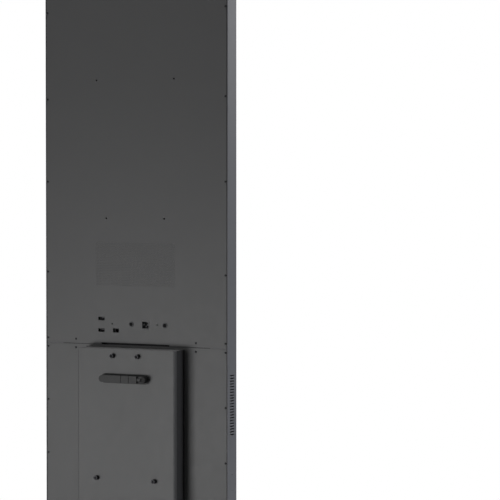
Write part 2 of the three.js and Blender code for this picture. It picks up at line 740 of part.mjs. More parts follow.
// A mains inlet: a recess with three flat pins.
function powerInlet() {
  const [x, z] = INLET_AT;
  const mouth = REAR + 0.6;
  const floor = mouth - INLET_DEPTH;
  const shell = block(around(x, INLET_SHELL[0]), [floor - 6, mouth], around(z, INLET_SHELL[1]));
  const recess = block(around(x, INLET_RECESS[0]), [floor, mouth + 1], around(z, INLET_RECESS[1]));
  const pins = INLET_PIN_AT.map(([dx, dz]) => (
    block(around(x + dx, INLET_PIN[0]), [floor - 1, mouth - 4], around(z + dz, INLET_PIN[1]))));
  return shell.subtract(recess).add(union(pins));
}

piece('power_inlet', powerInlet(), finish.blackPlastic);

// ---------------------------------------------------------------- stand box

const SIDE_OUT = BOX_HALF - BOX_SHEET - GAP;
const BOX_BACK = REAR + GAP;
const BOX_SIDE_TOP = BOX_TOP - BOX_SHEET - GAP;
const BOX_SIDE_REAR = BOX_REAR - 4;
const SIDE_FLANGE = 20;

// A tall angle: the wall, and a flange that lies against the rear covers.
function standBoxSide(side) {
  const tall = [FLOOR_OF_CABINET, BOX_SIDE_TOP];
  const wall = block(across(side, SIDE_OUT - SHEET, SIDE_OUT), [BOX_BACK, BOX_SIDE_REAR], tall);
  const flange = block(across(side, SIDE_OUT - SIDE_FLANGE, SIDE_OUT),
    [BOX_BACK, BOX_BACK + SHEET], tall);
  return wall.add(flange);
}

piece('stand_box_side_left', standBoxSide(-1), finish.basePaint);
piece('stand_box_side_right', standBoxSide(1), finish.basePaint);

const TOP_PLATE_HALF = SIDE_OUT - SHEET - GAP;
piece('stand_box_top', block([-TOP_PLATE_HALF, TOP_PLATE_HALF],
  [BOX_BACK + SHEET + GAP, BOX_SIDE_REAR], [BOX_SIDE_TOP - SHEET, BOX_SIDE_TOP]),
finish.rearPaint);

const BOLT_HOLE = 4.6;
const HUB_X = HANDLE_HEIGHT / 2 - HANDLE_HALF; // axis of the handle's spindle
const SPINDLE = 6;

// A pan whose flange laps over the box sides and the top plate.
function standBoxCover() {
  const pan = block([-BOX_HALF, BOX_HALF], [BOX_REAR - COVER_FLANGE, BOX_REAR],
    [FLOOR_OF_CABINET, BOX_TOP]);
  const inner = BOX_HALF - BOX_SHEET;
  const hollow = block([-inner, inner], [BOX_REAR - COVER_FLANGE - 1, BOX_REAR - SHEET],
    [0, BOX_TOP - BOX_SHEET]);
  const through = [BOX_REAR - 4, BOX_REAR + 1];
  const holes = bothSides(COVER_BOLT_AT).map((at) => rod('y', BOLT_HOLE, through, at, 12));
  const spindleHole = rod('y', SPINDLE + 0.5, through, [HUB_X, HANDLE_Z], 16);
  return pan.subtract(hollow).subtract(union([...holes, spindleHole]));
}

piece('stand_box_cover', standBoxCover(), finish.rearPaint);

const BOLT = { shank: 4, length: 14, head: 6.5, headHeight: 9.5, socket: 6, socketDepth: 5 };

// An M8 socket-head cap screw, with the hexagon socket cut in.
function coverBolt([x, z]) {
  const { shank, length, head, headHeight, socket, socketDepth } = BOLT;
  const seat = BOX_REAR + GAP;
  const top = seat + headHeight;
  const profile = [
    [0, seat - length], [shank, seat - length], [shank, seat], [head, seat],
    [head, top - 1], [head - 0.7, top], [0, top],
  ];
  return turnedY(profile, [x, z], 18).subtract(hexagonBar(x, z, socket, top - socketDepth, top + 1));
}

for (const [level, [x, z]] of [['upper', COVER_BOLT_AT[0]], ['lower', COVER_BOLT_AT[1]]]) {
  piece(`cover_bolt_${level}_left`, coverBolt([-x, z]), finish.blackSteel);
  piece(`cover_bolt_${level}_right`, coverBolt([x, z]), finish.blackSteel);
}

// ---------------------------------------------------------------- lift-and-turn handle

const HANDLE_BACK = BOX_REAR + 3.6;
const HANDLE_FACE = BOX_REAR + HANDLE_PROUD;
const LEVER_AXIS_X = -56.6;
const LEVER_AXIS_Y = (HANDLE_BACK + HANDLE_FACE) / 2;
const KNUCKLE = (HANDLE_FACE - HANDLE_BACK) / 2;
const LEVER_SHOULDER = LEVER_AXIS_X + KNUCKLE + 0.6;
const LUG_HALF = 4;
const PIN = 1.8;
const HALF_GRIP = HANDLE_HEIGHT / 2;
const GROOVE_AT = [-22.3, 3.3];
const GROOVE = [1.4, 1.2]; // width and depth
const SCOOP = [16, 4.5]; // length and depth of the finger clearance behind the free end
const BORDER = 3.5; // how far the escutcheon shows round the lever
const HANDLE_TALL = around(HANDLE_Z, HANDLE_HEIGHT);
const PAST_HANDLE = around(HANDLE_Z, 2 * HANDLE_HEIGHT);

function handleEscutcheon() {
  const half = HANDLE_HALF + BORDER;
  const outline = obround(-half, half, HANDLE_Z, HALF_GRIP + BORDER);
  outline.holes.push(circle(HUB_X, HANDLE_Z, SPINDLE + 0.4));
  return plateY(outline, BOX_REAR + GAP, HANDLE_BACK - 0.4, 9);
}

// The whole obround grip between two places along X.
function gripBetween(xLow, xHigh) {
  const grip = plateY(obround(-HANDLE_HALF, HANDLE_HALF, HANDLE_Z, HALF_GRIP),
    HANDLE_BACK, HANDLE_FACE, 9);
  return grip.intersect(block([xLow, xHigh], [HANDLE_BACK - 1, HANDLE_FACE + 1], PAST_HANDLE));
}

// Round-ended block whose slotted knuckle carries the lever, with the spindle behind it.
function handleHub() {
  const axis = [LEVER_AXIS_X, LEVER_AXIS_Y];
  const end = gripBetween(-HANDLE_HALF - 1, LEVER_AXIS_X);
  const knuckle = rod('z', KNUCKLE, HANDLE_TALL, axis, 24);
  const slot = block([LEVER_AXIS_X - 8, LEVER_AXIS_X + 20], [HANDLE_BACK + 1, HANDLE_FACE + 1],
    around(HANDLE_Z, 2 * (LUG_HALF + GAP)));
  const pinHole = rod('z', PIN + 0.2, around(HANDLE_Z, 14), axis, 12);
  const spindle = rod('y', SPINDLE, [BOX_REAR - 10, HANDLE_BACK + 1], [HUB_X, HANDLE_Z], 20);
  return end.add(knuckle).subtract(slot).subtract(pinHole).add(spindle);
}

// The lever, with two fine grooves across its face and the lug that the pin goes through.
function handleLever() {
  const axis = [LEVER_AXIS_X, LEVER_AXIS_Y];
  const lugTall = around(HANDLE_Z, 2 * LUG_HALF);
  const lugRadius = KNUCKLE - 1.8;
  const lug = block([LEVER_AXIS_X, LEVER_SHOULDER + 1], around(LEVER_AXIS_Y, 2 * lugRadius), lugTall)
    .add(rod('z', lugRadius, lugTall, axis, 20));
  const bore = rod('z', PIN + 0.2, PAST_HANDLE, axis, 12);
  const grooves = GROOVE_AT.map((x) => (
    block(around(x, GROOVE[0]), [HANDLE_FACE - GROOVE[1], HANDLE_FACE + 1], PAST_HANDLE)));
  const scoop = block([HANDLE_HALF - SCOOP[0], HANDLE_HALF + 1],
    [HANDLE_BACK - 1, HANDLE_BACK + SCOOP[1]], PAST_HANDLE);
  return gripBetween(LEVER_SHOULDER, HANDLE_HALF + 1)
    .subtract(union([...grooves, scoop])).add(lug).subtract(bore);
}

const CAM = { boss: 10, half: 7, reach: 34, back: 9, plate: 3 };

// Turns with the hub: upright it hooks behind the bolt plate and locks the cover.
function latchCam() {
  const outline = new THREE.Shape();
  outline.absarc(HUB_X, HANDLE_Z, CAM.boss, Math.PI, 2 * Math.PI);
  outline.lineTo(HUB_X + CAM.half, HANDLE_Z + CAM.reach);
  outline.lineTo(HUB_X - CAM.half, HANDLE_Z + CAM.reach);
  outline.holes.push(circle(HUB_X, HANDLE_Z, SPINDLE + GAP));
  return plateY(outline, BOX_REAR - CAM.back, BOX_REAR - CAM.back + CAM.plate, 8);
}

piece('handle_escutcheon', handleEscutcheon(), finish.handle);
piece('handle_hub', handleHub(), finish.handle);
piece('handle_lever', handleLever(), finish.handle);
piece('lever_pin', rod('z', PIN, around(HANDLE_Z, 13.6), [LEVER_AXIS_X, LEVER_AXIS_Y], 12),
  finish.steel);
piece('latch_cam', latchCam(), finish.zincSheet);

// ---------------------------------------------------------------- uprights and base

const POST = 35;
const POST_IN = 77;
const POST_WALL = 2.5;
const PLATE_REAR = BOX_REAR - SHEET - 0.6;
const PLATE = 3;
const POST_REAR = PLATE_REAR - PLATE - GAP;
const BASE_FLANGE = 6;
const FLANGE_TOP = BASE_TOP + GAP + BASE_FLANGE;
const POST_TOP = 755;
const POST_OUT = POST_IN + POST;

// A square tube; the lower cover bolt goes into its rear wall.
function uprightPost(side) {
  const outer = block(across(side, POST_IN, POST_OUT), [POST_REAR - POST, POST_REAR],
    [FLANGE_TOP + GAP, POST_TOP]);
  const inner = block(across(side, POST_IN + POST_WALL, POST_OUT - POST_WALL),
    [POST_REAR - POST + POST_WALL, POST_REAR - POST_WALL], [0, POST_TOP + 1]);
  const [boltX, boltZ] = COVER_BOLT_AT[1];
  const through = [POST_REAR - 2 * POST_WALL, POST_REAR + 1];
  const hole = rod('y', BOLT_HOLE, through, [side * boltX, boltZ], 12);
  return outer.subtract(inner).subtract(hole);
}

piece('upright_post_left', uprightPost(-1), finish.steel);
piece('upright_post_right', uprightPost(1), finish.steel);

// The upper cover bolts go through this plate, and the latch cam hooks behind it.
function boltPlate() {
  const plate = block([-POST_OUT, POST_OUT], [PLATE_REAR - PLATE, PLATE_REAR],
    [POST_TOP - 55, POST_TOP + 7]);
  const through = [PLATE_REAR - PLATE - 1, PLATE_REAR + 1];
  const holes = bothSides([COVER_BOLT_AT[0]]).map((at) => rod('y', BOLT_HOLE, through, at, 12));
  return plate.subtract(union(holes));
}

piece('bolt_plate', boltPlate(), finish.zincSheet);

// Open box section between the uprights and the cabinet back.
function cabinetSpacer() {
  const ySpan = [REAR + GAP, POST_REAR - POST - GAP];
  const zSpan = around(620, 60);
  const inner = [ySpan, zSpan].map(([low, high]) => [low + POST_WALL, high - POST_WALL]);
  return block([-POST_OUT, POST_OUT], ySpan, zSpan)
    .subtract(block([-POST_OUT - 1, POST_OUT + 1], ...inner));
}

piece('cabinet_spacer', cabinetSpacer(), finish.steel);

const BASE_BOLT_AT = [[134, 6], [134, 33]]; // as [x, y]
const BASE_BOLT_HOLE = 5.4;
const BASE_FLANGE_HALF = 150;

// The uprights stand on this plate, which is bolted down to the base.
function baseFlange() {
  const outline = rectangle(-BASE_FLANGE_HALF, BASE_FLANGE_HALF, REAR + 4, BOX_REAR - 4);
  for (const at of bothSides(BASE_BOLT_AT)) outline.holes.push(circle(...at, BASE_BOLT_HOLE));
  return plateZ(outline, BASE_TOP + GAP, FLANGE_TOP);
}

function basePlate() {
  const outline = roundedRectangle(HALF, BASE_DEPTH / 2, BASE_CORNER);
  for (const at of bothSides(BASE_BOLT_AT)) outline.holes.push(circle(...at, BASE_BOLT_HOLE));
  return plateZ(outline, FOOT_HEIGHT, BASE_TOP, 8);
}

piece('base_flange', baseFlange(), finish.steel);
piece('base_plate', basePlate(), finish.basePaint);

const FOOT_INSET = 34;
const FOOT_RADIUS = 20;
const FOOT_X = HALF - FOOT_INSET;
const FOOT_Y = BASE_DEPTH / 2 - FOOT_INSET;
for (const [end, y] of [['front', -FOOT_Y], ['rear', FOOT_Y]]) {
  for (const [side, x] of [['left', -FOOT_X], ['right', FOOT_X]]) {
    const foot = rod('z', FOOT_RADIUS, [0, FOOT_HEIGHT - GAP], [x, y], 20);
    piece(`base_foot_${end}_${side}`, foot, finish.rubber);
  }
}

export default kiosk;
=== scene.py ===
import math

import bmesh
import bpy
from mathutils import Matrix, Vector

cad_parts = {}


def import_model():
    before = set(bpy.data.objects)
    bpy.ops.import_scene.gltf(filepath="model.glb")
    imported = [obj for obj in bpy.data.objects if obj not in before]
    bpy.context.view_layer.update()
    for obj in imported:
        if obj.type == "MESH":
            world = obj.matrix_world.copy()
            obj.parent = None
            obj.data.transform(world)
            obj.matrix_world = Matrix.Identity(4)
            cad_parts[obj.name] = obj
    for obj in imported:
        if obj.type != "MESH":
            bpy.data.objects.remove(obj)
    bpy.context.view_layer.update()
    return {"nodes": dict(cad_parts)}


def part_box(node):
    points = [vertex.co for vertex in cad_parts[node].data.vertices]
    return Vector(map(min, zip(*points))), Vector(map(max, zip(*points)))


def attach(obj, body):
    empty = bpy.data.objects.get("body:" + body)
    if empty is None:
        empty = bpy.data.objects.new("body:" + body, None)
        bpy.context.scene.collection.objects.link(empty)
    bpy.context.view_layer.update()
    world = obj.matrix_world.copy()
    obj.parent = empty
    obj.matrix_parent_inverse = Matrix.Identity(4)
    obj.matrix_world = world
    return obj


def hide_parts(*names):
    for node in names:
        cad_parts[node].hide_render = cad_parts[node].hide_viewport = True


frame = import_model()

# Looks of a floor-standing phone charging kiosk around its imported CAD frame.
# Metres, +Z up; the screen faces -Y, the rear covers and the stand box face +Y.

MM = 0.001

# ------------------------------------------------------------------ places taken from the frame

def middle(node):
    low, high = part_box(node)
    return (low + high) / 2


UPPER_LOW, UPPER_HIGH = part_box("rear_cover_upper")
LOWER_LOW, LOWER_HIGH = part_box("rear_cover_lower")
PAN_LOW, PAN_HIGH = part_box("stand_box_cover")
FRAME_LOW, FRAME_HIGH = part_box("side_frame_right")
REAR = UPPER_HIGH.y
SHEET = LOWER_HIGH.y - LOWER_LOW.y
SEAM = (UPPER_LOW.z + LOWER_HIGH.z) / 2
COVER_INSET = 0.8 * MM  # rounded cover edges stop this far inside the CAD sheet's sides

# Fasteners and openings that have no node of their own, as (x, z)
EDGE_SCREW_X = 292.5 * MM
EDGE_SCREW_Z = [z * MM for z in (1715, 1468, 1233, 975, 786.5, 761.5, 609, 456, 305, 155, 40)]
SEAM_SCREW_X = 198 * MM
SEAM_SCREW_Z = [785.4 * MM, 761 * MM]
SIDE_SCREW_Z = [423.5 * MM, 379.1 * MM]
INSERTS = [(127.5 * MM, 1519.6 * MM), (95.5 * MM, 1129.8 * MM)]
NOTCH_HALF = 112 * MM
NOTCH_HEIGHT = 4.5 * MM
VENT_COUNT = 22
VENT_LOW, VENT_TOP = 534 * MM, 697.7 * MM
VENT_Y = REAR - 23 * MM
VENT_SIZE = (22.5 * MM, 3.5 * MM)
FLOOR_RADIUS = 2.4
CLEARANCE = 0.1 * MM  # between a separate piece and the face it sits against
SPINDLE_FROM_END = 13.25 * MM  # the handle's spindle, from the end of its escutcheon

# Rear cover openings that follow a node: width, height and corner radius, or one radius
PORT_WINDOWS = {"usb_socket_upper": (21 * MM, 10 * MM, 1.2 * MM),
                "usb_socket_lower": (21 * MM, 10 * MM, 1.2 * MM),
                "network_socket": (20 * MM, 12 * MM, 1.2 * MM),
                "power_inlet": (24.8 * MM, 23.2 * MM, 0.8 * MM)}
ROUND_HOLES = {"key_switch_body": 6.9 * MM, "power_button_housing": 6.9 * MM, "status_led": 2.4 * MM,
               "reset_button": 2.3 * MM}
SCREW_HOLE = 1.9 * MM
INSERT_HOLE = 2.6 * MM

# Perforated field of the upper cover
HOLE_PITCH, HOLE_RADIUS = 4.6 * MM, 0.6 * MM
FIELD_WIDTH, FIELD_HEIGHT, FIELD_BOTTOM = 256 * MM, 118 * MM, 941 * MM


def both_sides(points):
    return [(side * x, z) for x, z in points for side in (1, -1)]


REAR_SCREWS = both_sides([(EDGE_SCREW_X, z) for z in EDGE_SCREW_Z]
                         + [(SEAM_SCREW_X, z) for z in SEAM_SCREW_Z])

# ------------------------------------------------------------------ mesh tools


def add_object(name, mesh):
    obj = bpy.data.objects.new(name, mesh)
    bpy.context.scene.collection.objects.link(obj)
    return obj


def from_bmesh(name, bm):
    bmesh.ops.remove_doubles(bm, verts=bm.verts, dist=1e-6)
    bmesh.ops.recalc_face_normals(bm, faces=bm.faces)
    mesh = bpy.data.meshes.new(name)
    bm.to_mesh(mesh)
    bm.free()
    return add_object(name, mesh)


def evaluated_mesh(obj):
    graph = bpy.context.evaluated_depsgraph_get()
    return bpy.data.meshes.new_from_object(obj.evaluated_get(graph))


def apply_modifiers(obj):
    mesh = evaluated_mesh(obj)
    obj.modifiers.clear()
    obj.data = mesh
    return obj


def remove(*objects):
    for obj in objects:
        bpy.data.objects.remove(obj)


def ring_circle(centre, radius, steps):
    turns = [2 * math.pi * i / steps for i in range(steps)]
    return [(centre[0] + radius * math.cos(t), centre[1] + radius * math.sin(t)) for t in turns]


def ring_rounded(low, high, radius, steps=4):
    """A rectangle with round corners, anticlockwise from its lower right corner."""
    corners = [(high[0] - radius, low[1] + radius, -90), (high[0] - radius, high[1] - radius, 0),
               (low[0] + radius, high[1] - radius, 90), (low[0] + radius, low[1] + radius, 180)]
    points = []
    for x, y, start in corners:
        for i in range(steps + 1):
            turn = math.radians(start + 90 * i / steps)
            points.append((x + radius * math.cos(turn), y + radius * math.sin(turn)))
    return points


def window(centre, size, radius):
    low = (centre[0] - size[0] / 2, centre[1] - size[1] / 2)
    high = (centre[0] + size[0] / 2, centre[1] + size[1] / 2)
    return ring_rounded(low, high, radius)


# Turns of a sheet drawn in the curve's own X and Y so that its thickness runs along an axis
TURNS = {
    "X": Matrix(((0, 0, 1, 0), (1, 0, 0, 0), (0, 1, 0, 0), (0, 0, 0, 1))),
    "Y": Matrix(((1, 0, 0, 0), (0, 0, -1, 0), (0, 1, 0, 0), (0, 0, 0, 1))),
    "Z": Matrix.Identity(4),
}


def sheet_metal(name, axis, outline, holes, low, high, edge, edge_steps=1):
    """A flat sheet from low to high along axis, cut by holes, with every edge rounded."""
    curve = bpy.data.curves.new(name, "CURVE")
    curve.dimensions = "2D"
    curve.fill_mode = "BOTH"
    curve.extrude = (high - low) / 2 - edge
    curve.bevel_depth = edge
    curve.bevel_resolution = edge_steps
    curve.offset = -edge
    for ring in [outline] + [hole[::-1] for hole in holes]:
        spline = curve.splines.new("POLY")
        spline.points.add(len(ring) - 1)
        for point, (u, v) in zip(spline.points, ring):
            point.co = (u, v, 0, 1)
        spline.use_cyclic_u = True
    holder = add_object(name + "_outline", curve)
    mesh = evaluated_mesh(holder)
    remove(holder)
    middle_of = (low + high) / 2
    shift = {"X": (middle_of, 0, 0), "Y": (0, middle_of, 0), "Z": (0, 0, middle_of)}[axis]
    mesh.transform(Matrix.Translation(shift) @ TURNS[axis])
    bm = bmesh.new()
    bm.from_mesh(mesh)
    return from_bmesh(name, bm)


def prism(name, axis, outline, low, high):
    """An outline extruded along axis, with sharp edges."""
    bm = bmesh.new()
    ends = [[bm.verts.new((u, v, w)) for u, v in outline] for w in (low, high)]
    bm.faces.new(ends[0][::-1])
    bm.faces.new(ends[1])
    for i in range(len(outline)):
        j = (i + 1) % len(outline)
        bm.faces.new((ends[0][i], ends[0][j], ends[1][j], ends[1][i]))
    turn = TURNS[axis]
    if axis == "Y":  # the turn sends +Z to -Y
        turn = turn @ Matrix.Scale(-1, 4, (0, 0, 1))
    bmesh.ops.transform(bm, matrix=turn, verts=bm.verts)
    return from_bmesh(name, bm)


def block(name, low, high):
    return prism(name, "Z", [(low[0], low[1]), (high[0], low[1]), (high[0], high[1]),
                             (low[0], high[1])], low[2], high[2])


def turned(name, profile, centre, direction="Y", steps=32):
    """A closed profile of (radius, position) turned about an axis through centre."""
    bm = bmesh.new()
    rings = []
    for radius, along in profile:
        if radius < 1e-7:
            rings.append([bm.verts.new((0, 0, along))])
        else:
            rings.append([bm.verts.new((x, y, along)) for x, y in ring_circle((0, 0), radius, steps)])
    for a, b in zip(rings, rings[1:]):
        for i in range(steps):
            j = (i + 1) % steps
            corner = [a[i % len(a)], a[j % len(a)], b[j % len(b)], b[i % len(b)]]
            unique = list(dict.fromkeys(corner))
            if len(unique) > 2:
                bm.faces.new(unique)
    if direction == "Y":
        bmesh.ops.transform(bm, matrix=Matrix.Rotation(-math.pi / 2, 4, "X"), verts=bm.verts)
    if direction == "X":
        bmesh.ops.transform(bm, matrix=Matrix.Rotation(math.pi / 2, 4, "Y"), verts=bm.verts)
    bmesh.ops.translate(bm, vec=centre, verts=bm.verts)
    return from_bmesh(name, bm)


def join(name, objects):
    bm = bmesh.new()
    for obj in objects:
        bm.from_mesh(obj.data)
    remove(*objects)
    mesh = bpy.data.meshes.new(name)
    bm.to_mesh(mesh)
    bm.free()
    return add_object(name, mesh)


def combine(obj, tools, operation="DIFFERENCE"):
    """Cuts the tools from obj, or joins them to it, and leaves one clean mesh."""
    for tool in tools:
        step = obj.modifiers.new("combine", "BOOLEAN")
        step.operation = operation
        step.solver = "EXACT"
        step.object = tool
    apply_modifiers(obj)
    remove(*tools)
    return obj


def round_edges(obj, width, steps=2, angle=35):
    bevel = obj.modifiers.new("rounded edges", "BEVEL")
    bevel.width = width
    bevel.segments = steps
    bevel.limit_method = "ANGLE"
    bevel.angle_limit = math.radians(angle)
    bevel.harden_normals = False
    bevel.use_clamp_overlap = True
    smooth(obj, angle)
    return obj


def smooth(obj, angle=35):
    """Smooth shading that keeps flat faces flat and edges over the angle sharp."""
    for face in obj.data.polygons:
        face.use_smooth = True
    obj.data.set_sharp_from_angle(angle=math.radians(angle))
    even = obj.modifiers.new("flat faces", "WEIGHTED_NORMAL")
    even.keep_sharp = True
    even.weight = 100
    return obj


def ride_as(obj, body, slot, material, *nodes):
    """Puts a finished piece on its body, with its material, in place of the CAD nodes."""
    obj.data.materials.clear()
    obj.data.materials.append(material)
    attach(obj, body)
    if nodes:
        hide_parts(*nodes)
    return obj


# ------------------------------------------------------------------ materials


class Shader:
    """A Principled material whose colour, roughness and bump come from procedural nodes."""

    def __init__(self, name, roughness, metallic=0.0, specular=0.5):
        self.material = bpy.data.materials.new(name)
        self.material.use_nodes = True
        self.nodes = self.material.node_tree.nodes
        self.links = self.material.node_tree.links
        self.principled = self.nodes["Principled BSDF"]
        self.set("Roughness", roughness)
        self.set("Metallic", metallic)
        self.set("Specular IOR Level", specular)
        self.place = self.nodes.new("ShaderNodeTexCoord").outputs["Object"]

    def set(self, socket, value):
        self.principled.inputs[socket].default_value = value

    def stretched(self, scale):
        mapping = self.nodes.new("ShaderNodeMapping")
        mapping.inputs["Scale"].default_value = scale
        self.links.new(self.place, mapping.inputs["Vector"])
        return mapping.outputs["Vector"]

    def noise(self, scale, detail=3.0, vector=None):
        noise = self.nodes.new("ShaderNodeTexNoise")
        noise.inputs["Scale"].default_value = scale
        noise.inputs["Detail"].default_value = detail
        self.links.new(vector or self.place, noise.inputs["Vector"])
        return noise.outputs["Fac"]

    def between(self, factor, low, high):
        span = self.nodes.new("ShaderNodeMapRange")
        span.inputs["From Min"].default_value = 0.3
        span.inputs["From Max"].default_value = 0.7
        span.inputs["To Min"].default_value = low
        span.inputs["To Max"].default_value = high
        self.links.new(factor, span.inputs["Value"])
        return span.outputs["Result"]

    def tint(self, factor, dark, light):
        ramp = self.nodes.new("ShaderNodeValToRGB")
        ramp.color_ramp.elements[0].position = 0.3
        ramp.color_ramp.elements[1].position = 0.7
        ramp.color_ramp.elements[0].color = (*dark, 1)
        ramp.color_ramp.elements[1].color = (*light, 1)
        self.links.new(factor, ramp.inputs["Fac"])
        self.links.new(ramp.outputs["Color"], self.principled.inputs["Base Color"])

    def roughen(self, factor, low, high):
        self.links.new(self.between(factor, low, high), self.principled.inputs["Roughness"])

    def bump(self, height, distance, strength=1.0):
        bump = self.nodes.new("ShaderNodeBump")
        bump.inputs["Strength"].default_value = strength
        bump.inputs["Distance"].default_value = distance
        self.links.new(height, bump.inputs["Height"])
        self.links.new(bump.outputs["Normal"], self.principled.inputs["Normal"])


def shades(colour, spread):
    return ([c * (1 - spread) for c in colour], [c * (1 + spread) for c in colour])


def powder_coat(name, colour, roughness=0.52, specular=0.4):
    """Satin powder coat: broad faint mottling, fine orange peel, uneven sheen."""
    s = Shader(name, roughness, specular=specular)
    s.tint(s.noise(9, 5), *shades(colour, 0.015))
    s.roughen(s.noise(45, 4), roughness - 0.02, roughness + 0.02)
    s.bump(s.noise(1400, 3), 0.00005, 0.3)
    return s.material


def moulded_plastic(name, colour, roughness, grain=0.00004):
    s = Shader(name, roughness)
    s.tint(s.noise(60, 4), *shades(colour, 0.08))
    s.roughen(s.noise(220, 4), roughness - 0.06, roughness + 0.06)
    s.bump(s.noise(3200, 2), grain, 0.5)
    return s.material


def machined(name, colour, roughness, along):
    """Bare or oxidised metal with fine lines along one axis."""
    s = Shader(name, roughness, metallic=1.0)
    scale = {"X": (8, 900, 900), "Y": (900, 8, 900), "Z": (900, 900, 8)}[along]
    lines = s.noise(1.0, 3, s.stretched(scale))
    s.tint(s.noise(25, 4), *shades(colour, 0.10))
    s.roughen(lines, roughness - 0.08, roughness + 0.10)
    s.bump(lines, 0.00003, 0.4)
    return s.material


def rubber(name, colour):
    s = Shader(name, 0.8, specular=0.35)
    s.tint(s.noise(80, 5), *shades(colour, 0.15))
    s.roughen(s.noise(300, 4), 0.7, 0.9)
    s.bump(s.noise(2400, 3), 0.00008, 0.6)
    return s.material


REAR_PAINT = powder_coat("rear powder coat", (0.08, 0.08, 0.081))
FRAME_PAINT = powder_coat("frame powder coat", (0.165, 0.168, 0.184))
BASE_PAINT = powder_coat("base powder coat", (0.026, 0.026, 0.028), 0.6)
HANDLE_COAT = powder_coat("handle coat", (0.018, 0.018, 0.0185), 0.55, 0.3)
BLACK_PLASTIC = moulded_plastic("black moulded plastic", (0.012, 0.012, 0.013), 0.45)
SOFT_BLACK = powder_coat("soft black cap", (0.004, 0.004, 0.0042), 0.7, 0.12)
GREY_PLASTIC = moulded_plastic("grey moulded plastic", (0.1, 0.1, 0.102), 0.5)
# Black oxide for the screws; on the mid crossbar the same black is painted shade.
BLACK_OXIDE_AND_NOTCH_SHADE = machined("black oxide steel and notch shade", (0.03, 0.03, 0.032), 0.5, "Y")
DARK_ANODISED = machined("dark anodised ring", (0.06, 0.061, 0.063), 0.5, "Y")
ZINC = machined("zinc plated sheet", (0.52, 0.53, 0.54), 0.38, "Z")
STEEL = machined("mill steel", (0.42, 0.43, 0.44), 0.36, "Z")
# Near-black port shells: painted shade for the dark inside of the port openings.
PORT_SHELL_PAINTED_SHADE = machined("port shell darkened as painted shade", (0.04, 0.04, 0.042), 0.5, "Y")
ALUMINIUM = machined("extruded aluminium", (0.62, 0.63, 0.64), 0.32, "Z")
# Black rubber for the feet and mat; on the joint strips the same black is painted shade.
RUBBER_AND_JOINT_SHADE = rubber("moulded rubber and joint shade", (0.014, 0.014, 0.015))


def hub_coat_with_painted_shade():
    """Handle coat with painted shade: near-black over the hub's round end, for its shaded end wall and cast
    shadow.
    """
    s = Shader("hub coat with painted shade", 0.55, specular=0.2)
    split = s.nodes.new("ShaderNodeSeparateXYZ")
    s.links.new(s.place, split.inputs["Vector"])
    painted_shade_blend = s.nodes.new("ShaderNodeMapRange")
    painted_shade_blend.inputs["From Min"].default_value = middle("handle_hub").x - 3.5 * MM
    painted_shade_blend.inputs["From Max"].default_value = middle("handle_hub").x - 1.5 * MM
    s.links.new(split.outputs["X"], painted_shade_blend.inputs["Value"])
    # the near-black at the hub's round end is painted shade
    s.tint(painted_shade_blend.outputs["Result"], (0.004, 0.004, 0.004), (0.018, 0.018, 0.0185))
    s.roughen(s.noise(45, 4), 0.53, 0.6)
    s.bump(s.noise(1400, 3), 0.00005, 0.3)
    return s.material


def circuit_board():
    s = Shader("solder mask", 0.4)
    s.tint(s.noise(350, 6), (0.004, 0.035, 0.014), (0.01, 0.07, 0.028))
    s.bump(s.noise(500, 2), 0.0001, 0.4)
    return s.material


def cover_glass():
    s = Shader("cover glass", 0.03)
    s.set("Transmission Weight", 1.0)
    s.set("IOR", 1.5)
    s.tint(s.noise(2, 2), (0.74, 0.76, 0.78), (0.8, 0.82, 0.84))
    s.roughen(s.noise(3, 2), 0.02, 0.03)
    return s.material


def lcd_film():
    s = Shader("screen film", 0.3)
    s.tint(s.noise(3, 3), (0.006, 0.007, 0.009), (0.011, 0.013, 0.016))
    s.roughen(s.noise(5, 3), 0.3, 0.35)
    return s.material


def clear_acrylic():
    s = Shader("clear acrylic", 0.2)
    s.set("Transmission Weight", 0.6)
    s.tint(s.noise(8, 2), (0.78, 0.8, 0.81), (0.85, 0.87, 0.88))
    return s.material


def led_lens():
    s = Shader("led lens", 0.4, specular=0.2)
    s.tint(s.noise(900, 2), (0.012, 0.022, 0.014), (0.02, 0.035, 0.022))
    return s.material


HUB_COAT_WITH_PAINTED_SHADE = hub_coat_with_painted_shade()
BOARD = circuit_board()
GLASS = cover_glass()
SCREEN = lcd_film()
ACRYLIC = clear_acrylic()
LED = led_lens()

# ------------------------------------------------------------------ CAD nodes that stay

KEPT = {
    REAR_PAINT: ["stand_box_top"],
    FRAME_PAINT: ["top_frame", "bottom_frame", "charging_shelf", "front_lower_panel"],
    BASE_PAINT: ["base_plate"],
    HANDLE_COAT: ["handle_escutcheon", "handle_lever"],
    HUB_COAT_WITH_PAINTED_SHADE: ["handle_hub"],
    BLACK_PLASTIC: ["charging_fascia", "charge_socket_strip", "speaker_left", "speaker_right",
                    "fan_frame_left", "fan_frame_right", "fan_rotor_left", "fan_rotor_right"],
    SOFT_BLACK: ["reset_button", "key_cylinder", "power_button_cap"],
    GREY_PLASTIC: ["power_inlet"],
    # mid_crossbar black is painted shade for the dark inside of the cable notch
    BLACK_OXIDE_AND_NOTCH_SHADE: ["mid_crossbar"],
    DARK_ANODISED: ["key_switch_body", "power_button_housing"],
    GLASS: ["front_glass"],
    SCREEN: ["lcd_panel"],
    ACRYLIC: ["light_guide_plate"],
    ZINC: ["backlight_tray", "power_supply_case", "bolt_plate", "latch_cam"],
    PORT_SHELL_PAINTED_SHADE: ["usb_socket_upper", "usb_socket_lower", "network_socket"],
    STEEL: ["upright_post_left", "upright_post_right", "cabinet_spacer", "base_flange", "lever_pin"],
    ALUMINIUM: ["heat_sink"],
    RUBBER_AND_JOINT_SHADE: ["shelf_mat", "base_foot_front_left", "base_foot_front_right",
             "base_foot_rear_left", "base_foot_rear_right"],
    BOARD: ["charger_board", "power_supply_board", "media_board"],
    LED: ["status_led"],
}


